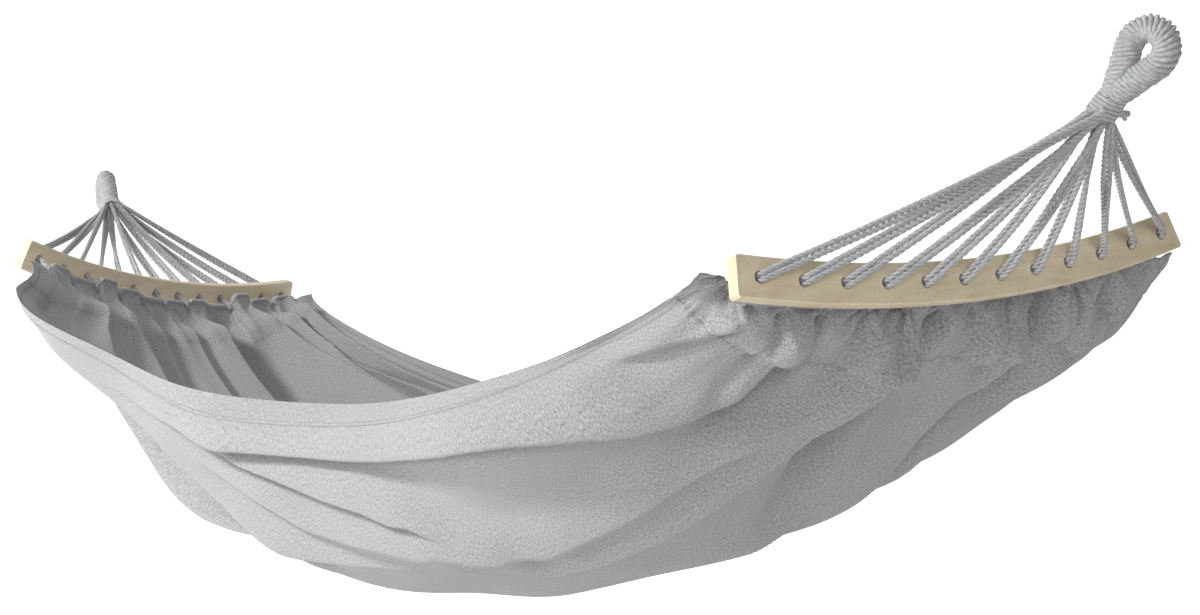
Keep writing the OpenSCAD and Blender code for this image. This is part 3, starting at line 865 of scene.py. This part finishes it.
def cloth_grid(rows):
    """Places on the folded cloth: near_s and far_s run along it from each end, out stands off the smooth
    bed and slide slips down it."""
    u, v = np.meshgrid(rows, np.linspace(0, 1, COLS + 1), indexing="ij")
    near_s, far_s = u * FLAT_L, (1 - u) * FLAT_L
    out, slide = np.zeros_like(u), np.zeros_like(u)
    add_folds(WALL_FOLDS, u, v, 1, out, slide)
    add_folds(END_PLEATS, u, v, -1, out, slide, flat=True)
    add_valleys(u, v, out)
    # A deep hollow behind the middle pleats at the far end
    hollow = hump(v, mix(0.64, 0.665, smooth(far_s / 0.18)), 0.024 + 0.05 * smooth(far_s / 0.2))
    out += 0.034 * hollow * smooth(far_s / 0.05) * smooth((u - 0.55) / 0.3)
    for height, at_u, wide_u, at_v, wide_v in SWELLS:
        out += height * hump(u, at_u, wide_u) * hump(v, at_v, wide_v)
    # At the near end the bottom draws in and the back stands out
    out -= 0.030 * hump(u, 0.07, 0.06) * smooth((v - 0.42) / 0.2) * (1 - smooth((v - 0.66) / 0.2))
    out += 0.024 * hump(u, 0.05, 0.05) * smooth((v - 0.72) / 0.2)
    add_lobes(near_s, v, out)
    add_gathers(NEAR, near_s, v, out)
    add_gathers(FAR, far_s, v, out)
    # Small puckers along the casing's seams
    for s_end, pucker in ((near_s, 0.0014), (far_s, 0.0002)):
        out += pucker * np.sin(v * 620 + 3 * np.sin(v * 47)) * hump(s_end, CASING_DEPTH, 0.012)
        out -= 0.0022 * hump(s_end, CASING_DEPTH, 0.0026)
    # Slow unevenness, as in any hung cloth
    inland = smooth(near_s / 0.1) * smooth(far_s / 0.1)
    out += 0.0026 * np.sin(31 * v + 9 * u) * np.sin(13 * u + 5 * v + 1.3) * inland
    out += 0.006 * np.sin(7 * u + 19 * v) * inland * smooth((v - 0.5) / 0.3)
    v_new = np.clip(v + slide * smooth(v / 0.04), 0, 1)
    g = bed_surface(u, v_new) + out[..., None] * outward(u, v_new)
    for s, dist in ((NEAR, near_s), (FAR, far_s)):
        crest = per_gap(CRESTS[s], v) * between_bights(v, 0.24) * np.exp(-(dist / 0.05) ** 2)
        g += crest[..., None] * bar_dir(s, [0, 0, 1])
    edge_curl = hump(u, 0.45, 0.28) * np.clip(1 - v / 0.030, 0, 1) ** 1.5
    g[..., 1] += 0.016 * edge_curl
    g[..., 2] -= 0.006 * edge_curl
    return g


def surface_normals(g):
    along, across = np.gradient(g, axis=0), np.gradient(g, axis=1)
    return unit(np.cross(along, across))


U_ROWS = row_places()
MIDDLE_ROW = int(np.searchsorted(U_ROWS, 0.5))
CLOTH_GRID = cloth_grid(U_ROWS)
CLOTH_NORMALS = surface_normals(CLOTH_GRID)


def cloth_thickness(u, v):
    """Single cloth, and doubled in the side hems and end casings."""
    side = smooth((HEM_DEPTH - np.minimum(v, 1 - v) * FLAT_W) / 0.002)
    end = smooth((CASING_DEPTH - np.minimum(u, 1 - u) * FLAT_L) / 0.002)
    return 0.0014 + 0.0016 * side + 0.0010 * end


def join_bend(obj, s):
    """Bakes a piece of the cloth's placement into its mesh."""
    header = header_point(s, 0.0)
    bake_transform(obj)


def cloth_piece(name, rows, s):
    """Half of the cloth as a closed shell, with normals that run on into the other half."""
    lo, hi = rows
    u, v = np.meshgrid(U_ROWS[lo:hi + 1], np.linspace(0, 1, COLS + 1), indexing="ij")
    middle, normal = CLOTH_GRID[lo:hi + 1], CLOTH_NORMALS[lo:hi + 1]
    n, m = middle.shape[:2]
    half_thick = 0.5 * cloth_thickness(u, v)[..., None] * normal
    verts = np.concatenate([(middle + half_thick).reshape(-1, 3), (middle - half_thick).reshape(-1, 3)])
    i, j = np.meshgrid(np.arange(n - 1), np.arange(m - 1), indexing="ij")
    outer = np.stack([i * m + j, (i + 1) * m + j, (i + 1) * m + j + 1, i * m + j + 1], -1).reshape(-1, 4)
    inner = outer[:, ::-1] + n * m
    rim = np.concatenate([np.arange(m), np.arange(1, n) * m + m - 1, (n - 1) * m + np.arange(m - 2, -1, -1),
                          np.arange(n - 2, 0, -1) * m])
    after = np.roll(rim, -1)
    walls = np.stack([rim, after, after + n * m, rim + n * m], -1)
    uvs = np.stack([v * FLAT_W, u * FLAT_L], -1).reshape(-1, 2)
    obj = new_mesh(name, verts, np.concatenate([outer, inner, walls]), CLOTH, np.concatenate([uvs, uvs]))
    shade = np.concatenate([normal.reshape(-1, 3), -normal.reshape(-1, 3)])
    obj.data.normals_split_custom_set_from_vertices(shade.tolist())
    join_bend(obj, s)
    return obj


def on_cloth(u, v, lift):
    """Places on the folded cloth, lifted off its outer side."""
    row = np.interp(u, U_ROWS, np.arange(ROWS + 1))
    col = np.clip(v, 0, 1) * COLS
    i, j = np.minimum(row.astype(int), ROWS - 1), np.minimum(col.astype(int), COLS - 1)
    a, b = (row - i)[:, None], (col - j)[:, None]
    corners = [(i, j, (1 - a) * (1 - b)), (i + 1, j, a * (1 - b)),
               (i, j + 1, (1 - a) * b), (i + 1, j + 1, a * b)]
    place = sum(w * CLOTH_GRID[p, q] for p, q, w in corners)
    normal = unit(sum(w * CLOTH_NORMALS[p, q] for p, q, w in corners))
    return place + lift[:, None] * normal


def make_stitches(s, rows):
    """Two rows of stitches along each side hem, and two along the end casing's seam."""
    lo, hi = U_ROWS[rows[0]], U_ROWS[rows[1]]
    soup = Soup()
    lines = []
    for inset in (HEM_DEPTH - 0.0040, HEM_DEPTH - 0.0015):
        for v_line in (inset / FLAT_W, 1 - inset / FLAT_W):
            mids = np.arange(lo + 0.002, hi - 0.001, 0.0042 / FLAT_L)
            lines.append((mids, np.full_like(mids, v_line), 0.0014 / FLAT_L, 0.0))
    for depth in (CASING_DEPTH - 0.0015, CASING_DEPTH - 0.0050):
        mids = np.arange(0.004, 0.996, 0.0042 / FLAT_W)
        place = depth / FLAT_L if s == NEAR else 1 - depth / FLAT_L
        lines.append((np.full_like(mids, place), mids, 0.0, 0.0014 / FLAT_W))
    for side_sign in (1, -1):
        for mid_u, mid_v, du, dv in lines:
            face = 0.5 * cloth_thickness(mid_u, mid_v)
            ends = [on_cloth(mid_u + t * du, mid_v + t * dv, side_sign * (face + h))
                    for t, h in ((-1, -0.0002), (-0.5, 0.0003), (0.5, 0.0003), (1, -0.0002))]
            for stitch in np.stack(ends, 1):
                soup.tube(stitch, 0.00042, sides=5)
    obj = soup.mesh(f"{END_NAME[s]}_half_stitches", THREAD)
    join_bend(obj, s)


NEAR_ROWS, FAR_ROWS = (0, MIDDLE_ROW), (MIDDLE_ROW, ROWS)
near_cloth = cloth_piece("near_half_cloth", NEAR_ROWS, NEAR)
far_cloth = cloth_piece("far_half_cloth", FAR_ROWS, FAR)
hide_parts("cloth_bed", "front_side_hem", "back_side_hem")
make_stitches(NEAR, NEAR_ROWS)
make_stitches(FAR, FAR_ROWS)


def make_casing(s):
    """The gathered top of the casing, folded over the header cord and pinched at each rope."""
    reach = END_HOLE + 0.024
    y = np.linspace(-reach, reach, 1100)
    v = y / CLOTH_W + 0.5
    flat = between_bights(v, 0.24)
    taper = smooth((reach - np.abs(y)) / 0.014)
    crest = per_gap(CRESTS[s], v) * flat
    up, back = bar_dir(s, [0, 0, 1]), bar_dir(s, [-1, 0, 0])
    centre = header_point(s, y) - 0.002 * up
    ang = np.arange(24) * 2 * math.pi / 24
    ruffle = 1 + ((1.2 - flat) * (0.16 * np.sin(2 * math.pi * y / 0.0085 + 2.2 * np.sin(y * 71))))[:, None] \
        * (0.7 + 0.3 * np.cos(2 * ang))[None]
    radius = (0.0044 + 0.0014 * flat)[:, None] * ruffle * (0.25 + 0.75 * taper)[:, None]
    rise = np.sin(ang)[None] * radius + crest[:, None] * smooth(0.5 + np.sin(ang))[None]
    verts = centre[:, None] + rise[..., None] * up + (np.cos(ang)[None] * radius)[..., None] * back
    n, k = len(y), len(ang)
    i, j = np.meshgrid(np.arange(n - 1), np.arange(k), indexing="ij")
    j2 = (j + 1) % k
    quads = np.stack([i * k + j, i * k + j2, (i + 1) * k + j2, (i + 1) * k + j], -1).reshape(-1, 4)
    caps = []
    for base, order in ((0, 1), ((n - 1) * k, -1)):
        for q in range(1, k // 2):
            caps.append([base + q - 1, base + k - q, base + k - 1 - q, base + q][::order])
    uvs = np.stack(np.broadcast_arrays(ang[None] * 0.008, y[:, None]), -1).reshape(-1, 2)
    obj = new_mesh(f"{END_NAME[s]}_gathered_casing", verts.reshape(-1, 3), quads, CLOTH, uvs)
    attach(obj, f"{END_NAME[s]}_rigging")
    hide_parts(f"{END_NAME[s]}_end_casing")


make_casing(NEAR)
make_casing(FAR)


# ---- Wood

for side in (NEAR, FAR):
    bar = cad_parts[f"{END_NAME[side]}_spreader_bar"]
    bar.data.materials.clear()
    bar.data.materials.append(WOOD)


# ---- Floor and lights

def make_floor():
    """A pale floor that sweeps up into a backdrop."""
    low = CAD_BOX[0][2] - 0.45
    sweep_r, sweep_start = 3, 7
    turn = np.linspace(0, math.pi / 2, 20)
    run = np.concatenate([np.linspace(-9, sweep_start, 30), sweep_start + sweep_r * np.sin(turn),
                          np.full(10, float(sweep_start + sweep_r))])
    rise = np.concatenate([np.zeros(30), sweep_r - sweep_r * np.cos(turn), np.linspace(3.2, 9, 10)])
    side = np.linspace(-14, 14, 12)
    ahead = np.array([-math.cos(CAMERA_HEADING), math.sin(CAMERA_HEADING), 0])
    across = np.array([math.sin(CAMERA_HEADING), math.cos(CAMERA_HEADING), 0])
    verts = (ahead * run[:, None, None] + across * side[None, :, None]
             + np.array([-1.1, 0, low]) + np.array([0, 0, 1.0]) * rise[:, None, None])
    n, m = len(run), len(side)
    i, j = np.meshgrid(np.arange(n - 1), np.arange(m - 1), indexing="ij")
    quads = np.stack([i * m + j, i * m + j + 1, (i + 1) * m + j + 1, (i + 1) * m + j], -1).reshape(-1, 4)
    mat, nodes, links, shader = material("pale_floor")
    away = nodes.new("ShaderNodeMapRange")
    away.inputs["From Min"].default_value = 0.6
    away.inputs["From Max"].default_value = 2.4
    away.inputs["To Min"].default_value = 0.06
    away.inputs["To Max"].default_value = 0.80
    parts = nodes.new("ShaderNodeSeparateXYZ")
    links.new(nodes.new("ShaderNodeTexCoord").outputs["UV"], parts.inputs["Vector"])
    links.new(parts.outputs["X"], away.inputs["Value"])
    links.new(away.outputs["Result"], shader.inputs["Emission Strength"])
    shader.inputs["Base Color"].default_value = (0.90, 0.90, 0.90, 1)
    shader.inputs["Roughness"].default_value = 0.9
    shader.inputs["Emission Color"].default_value = (1, 1, 1, 1)
    uvs = np.stack(np.broadcast_arrays(run[:, None], side[None]), -1).reshape(-1, 2)
    floor = new_mesh("floor", verts.reshape(-1, 3), quads, mat, uvs)


def area_light(name, place, target, size, power):
    data = bpy.data.lights.new(name, "AREA")
    data.shape = "DISK"
    data.size = size
    data.energy = power
    light = bpy.data.objects.new(name, data)
    bpy.context.scene.collection.objects.link(light)
    light.location = Vector(place)
    light.rotation_mode = "QUATERNION"
    light.rotation_quaternion = (Vector(target) - Vector(place)).to_track_quat("-Z", "Y")


# Each light's place, with x from the hammock's middle, its size in metres and its power in watts
LIGHTS = [
    ("key", (-0.5, -3.0, 1.25), 0.6, 98),
    ("fill", (3.2, -2.3, 0.4), 1.6, 40),
    ("low", (-1.4, -2.9, -0.5), 0.7, 37),
    ("top", (-0.6, -0.4, 2.7), 1.2, 26),
]

make_floor()
middle = (-HOOK[0], 0, -HOOK[2] - 0.2)
for name, (x, y, z), size, power in LIGHTS:
    area_light(name, (middle[0] + x, y, z), middle, size, power)
world = bpy.data.worlds.new("studio")
bpy.context.scene.world = world
world.use_nodes = True
world.node_tree.nodes["Background"].inputs["Color"].default_value = (1, 1, 1, 1)
world.node_tree.nodes["Background"].inputs["Strength"].default_value = 0.15
bpy.context.scene.view_settings.view_transform = "Standard"
